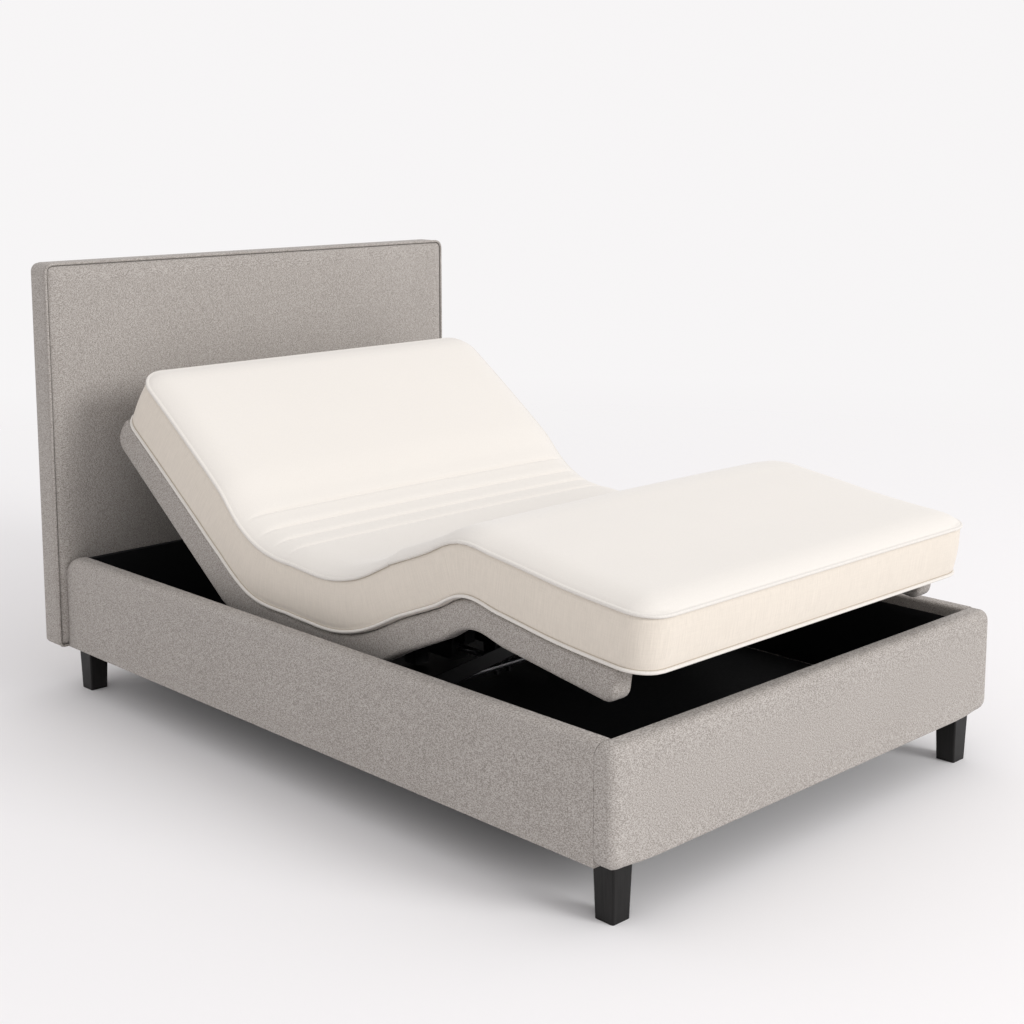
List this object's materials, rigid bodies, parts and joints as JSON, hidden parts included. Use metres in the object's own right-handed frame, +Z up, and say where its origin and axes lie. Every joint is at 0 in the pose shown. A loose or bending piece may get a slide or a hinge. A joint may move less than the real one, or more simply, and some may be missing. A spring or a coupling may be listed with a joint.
{
  "type": "adjustable bed base",
  "caption": "Single adjustable bed with upholstered headboard and surround, tapered square legs, lifting back, thigh and calf deck sections, electric drives and a flexing mattress.",
  "frame": {"origin": "on the floor under the middle of the whole bed, headboard included", "axes": "+Z up, +Y towards the head end, +X to the right for someone standing at the foot and facing the headboard"},
  "size_m": [1.478, 2.217, 1.237],
  "materials": {
    "linen": "matte",
    "mattress": "matte",
    "black_board": "matte",
    "black_metal": "satin",
    "satin_leg": "satin",
    "steel": "satin",
    "drive_plastic": "satin"
  },
  "bodies": {
    "base": {"headboard": "linen", "footboard": "linen", "head_rail": "black_board", "base_bottom_cover": "black_board", "cross_beam_front": "black_metal", "cross_beam_rear": "black_metal", "seat_panel": "black_board", "seat_mattress": "mattress", "head_actuator_body": "drive_plastic", "foot_actuator_body": "drive_plastic", "control_box": "drive_plastic", "headboard_bracket_left": "black_metal", "headboard_bracket_right": "black_metal", "side_rail_left": "linen", "side_rail_right": "linen", "leg_foot_left": "satin_leg", "leg_foot_right": "satin_leg", "leg_head_left": "satin_leg", "leg_head_right": "satin_leg", "seat_side_pad_left": "linen", "seat_side_pad_right": "linen", "seat_side_plate_left": "black_metal", "seat_side_plate_right": "black_metal", "link_bracket_left": "black_metal", "link_bracket_right": "black_metal", "back_hinge_pin_left": "steel", "back_hinge_pin_right": "steel", "thigh_hinge_pin_left": "steel", "thigh_hinge_pin_right": "steel"},
    "back_section": {"back_panel": "black_board", "back_cross_tube": "black_metal", "head_lift_fork": "black_metal", "back_mattress": "mattress", "back_side_pad_left": "linen", "back_side_pad_right": "linen", "back_arm_left": "black_metal", "back_arm_right": "black_metal"},
    "thigh_section": {"thigh_panel": "black_board", "thigh_cross_tube": "black_metal", "foot_lift_fork": "black_metal", "thigh_mattress": "mattress", "thigh_side_pad_left": "linen", "thigh_side_pad_right": "linen", "thigh_arm_left": "black_metal", "thigh_arm_right": "black_metal", "knee_pin_left": "steel", "knee_pin_right": "steel"},
    "calf_section": {"calf_panel": "black_board", "calf_cross_tube": "black_metal", "calf_mattress": "mattress", "calf_side_pad_left": "linen", "calf_side_pad_right": "linen", "calf_arm_left": "black_metal", "calf_arm_right": "black_metal"},
    "head_drive_rod": {"head_rod": "steel"},
    "foot_drive_rod": {"foot_rod": "steel"},
    "calf_link": {"calf_link_shaft": "steel", "calf_link_arm_left": "black_metal", "calf_link_arm_right": "black_metal"}
  },
  "joints": [
    {"name": "back_lift", "type": "hinge", "parent": "base", "child": "back_section", "pos_m": [0, 0.2825, 0.385], "axis": [1, 0, 0], "range_deg": [-36, 24]},
    {"name": "thigh_lift", "type": "hinge", "parent": "base", "child": "thigh_section", "pos_m": [0, -0.1425, 0.385], "axis": [-1, 0, 0], "range_deg": [-24, 16]},
    {"name": "calf_fold", "type": "hinge", "parent": "thigh_section", "child": "calf_section", "pos_m": [0, -0.55359, 0.56803], "axis": [-1, 0, 0], "range_deg": [-21.8, 32.6]},
    {"name": "head_rod_slide", "type": "slide", "parent": "base", "child": "head_drive_rod", "axis": [0, 1, 0], "range_m": [-0.105, 0.07]},
    {"name": "foot_rod_slide", "type": "slide", "parent": "base", "child": "foot_drive_rod", "axis": [0, -1, 0], "range_m": [-0.068, 0.046]},
    {"name": "calf_link_swing", "type": "hinge", "parent": "base", "child": "calf_link", "pos_m": [0, -0.3485, 0.298], "axis": [-1, 0, 0], "range_deg": [-26.3, 17.6]}
  ],
  "couplings": [
    {"joint": "calf_fold", "follows": "thigh_lift", "ratio": -1.354},
    {"joint": "head_rod_slide", "follows": "back_lift", "m_per_rad": 0.166},
    {"joint": "foot_rod_slide", "follows": "thigh_lift", "m_per_rad": 0.1604},
    {"joint": "calf_link_swing", "follows": "thigh_lift", "ratio": 1.0875}
  ]
}
